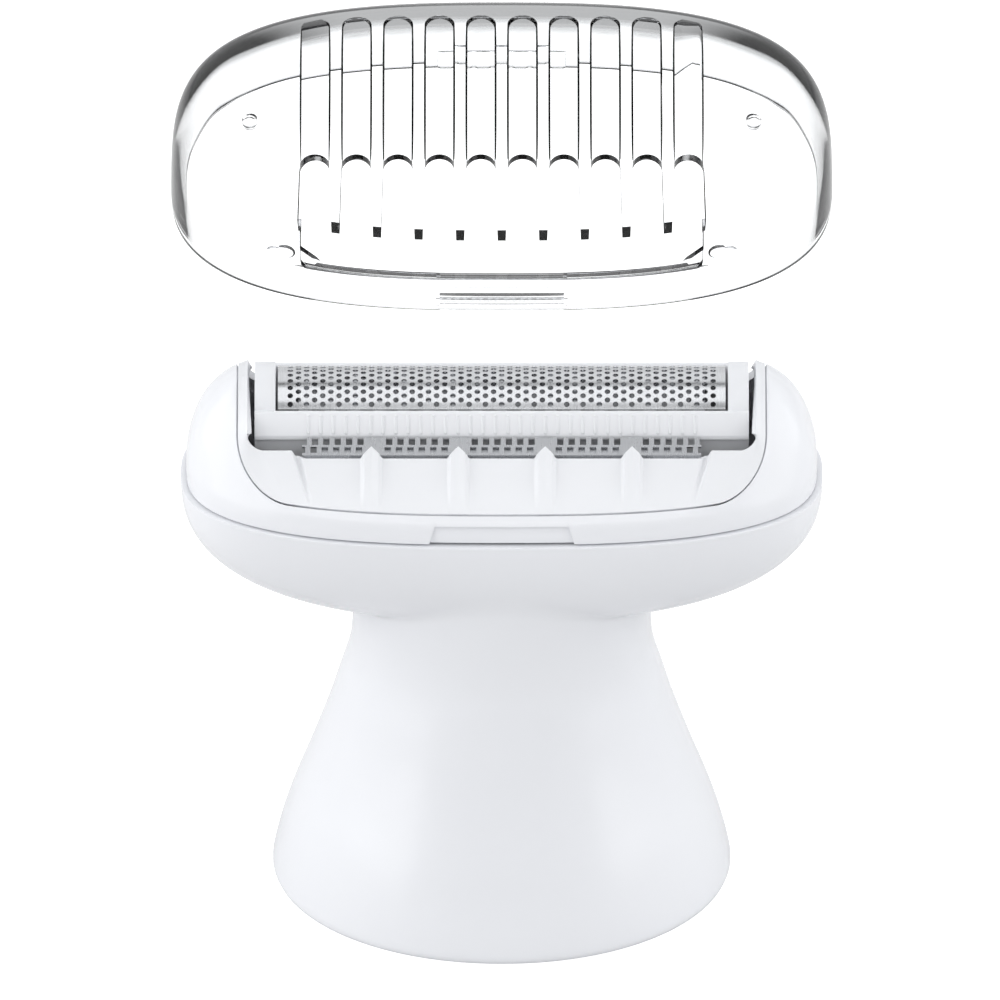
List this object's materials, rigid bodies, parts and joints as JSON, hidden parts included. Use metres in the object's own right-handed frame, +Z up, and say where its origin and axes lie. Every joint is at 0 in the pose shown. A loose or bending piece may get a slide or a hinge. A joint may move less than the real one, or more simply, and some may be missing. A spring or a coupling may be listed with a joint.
{
  "type": "epilator shaving head with comb cap",
  "caption": "Foil shaving head on a flared oval skirt, with trimmer guards beside a floating foil frame and a clear comb cap lifted off above it.",
  "frame": {"origin": "centre of the skirt's lower rim, on the surface that the head stands on", "axes": "+Z up through the head, +X along the foil, the side that faces the viewer is -Y"},
  "size_m": [0.0538, 0.0348, 0.0785],
  "materials": {
    "housing": "smooth white moulded plastic with a soft gloss",
    "frame_plastic": "white moulded plastic, satin",
    "foil_steel": "thin bright perforated foil",
    "trimmer_steel": "stamped strip with small square holes",
    "blade_steel": "ground blade edges",
    "spring_steel": "drawn wire and turned pins",
    "screw_steel": "zinc plated",
    "bush_brass": "turned",
    "inner_plastic": "grey moulded plastic",
    "dark_plastic": "dark moulded plastic",
    "seal_rubber": "soft black rubber",
    "clear_plastic": "clear polished plastic"
  },
  "bodies": {
    "head": {"lower_housing": "housing", "upper_housing": "housing", "trimmer_frame": "frame_plastic", "trimmer_guard_front": "trimmer_steel", "trimmer_guard_rear": "trimmer_steel", "guide_frame": "inner_plastic", "chassis_plate": "inner_plastic", "lever_pivot_pin": "spring_steel", "shaft_bush": "bush_brass", "bearing_plate": "inner_plastic", "coupling_ring": "inner_plastic", "seal_ring": "seal_rubber", "chassis_screw_1": "screw_steel", "chassis_screw_2": "screw_steel", "chassis_screw_3": "screw_steel", "chassis_screw_4": "screw_steel", "bearing_screw_left": "screw_steel", "bearing_screw_right": "screw_steel", "foil_spring_left": "spring_steel", "foil_spring_right": "spring_steel"},
    "foil": {"foil_frame": "frame_plastic", "shaving_foil": "foil_steel"},
    "bridge": {"drive_bridge": "inner_plastic", "trimmer_blade_front": "trimmer_steel", "trimmer_blade_rear": "trimmer_steel", "cutter_spring": "spring_steel"},
    "cutter": {"inner_cutter": "blade_steel", "cutter_carrier": "inner_plastic"},
    "lever": {"swing_lever": "dark_plastic"},
    "drive": {"eccentric_cam": "dark_plastic", "drive_shaft": "spring_steel", "drive_coupling": "dark_plastic"},
    "cap": {"comb_cap": "clear_plastic"}
  },
  "joints": [
    {"name": "comb_cap_lift", "type": "hinge", "parent": "head", "child": "cap", "pos_m": [0, -0.077, 0.0434], "axis": [1, 0, 0], "range_deg": [-21, 0]},
    {"name": "foil_float", "type": "slide", "parent": "head", "child": "foil", "axis": [0, 0, 1], "range_m": [-0.0012, 0], "stiffness_N_per_m": 200, "springref_m": 0.001, "deforming": ["foil_spring_left", "foil_spring_right"]},
    {"name": "bridge_slide", "type": "slide", "parent": "head", "child": "bridge", "axis": [1, 0, 0], "range_m": [-0.001, 0.001]},
    {"name": "cutter_float", "type": "slide", "parent": "bridge", "child": "cutter", "axis": [0, 0, 1], "range_m": [-0.0012, 0], "deforming": ["cutter_spring"]},
    {"name": "lever_swing", "type": "hinge", "parent": "head", "child": "lever", "pos_m": [0, 0, 0.0305], "axis": [0, 1, 0], "range_deg": [-8.2, 8.2]},
    {"name": "eccentric_spin", "type": "hinge", "parent": "head", "child": "drive", "pos_m": [0, 0, 0.012], "axis": [0, 0, 1], "continuous": true}
  ],
  "couplings": [
    {"joint": "lever_swing", "follows": "bridge_slide", "rad_per_m": 142.86},
    {"joint": "cutter_float", "follows": "foil_float", "ratio": 1}
  ]
}
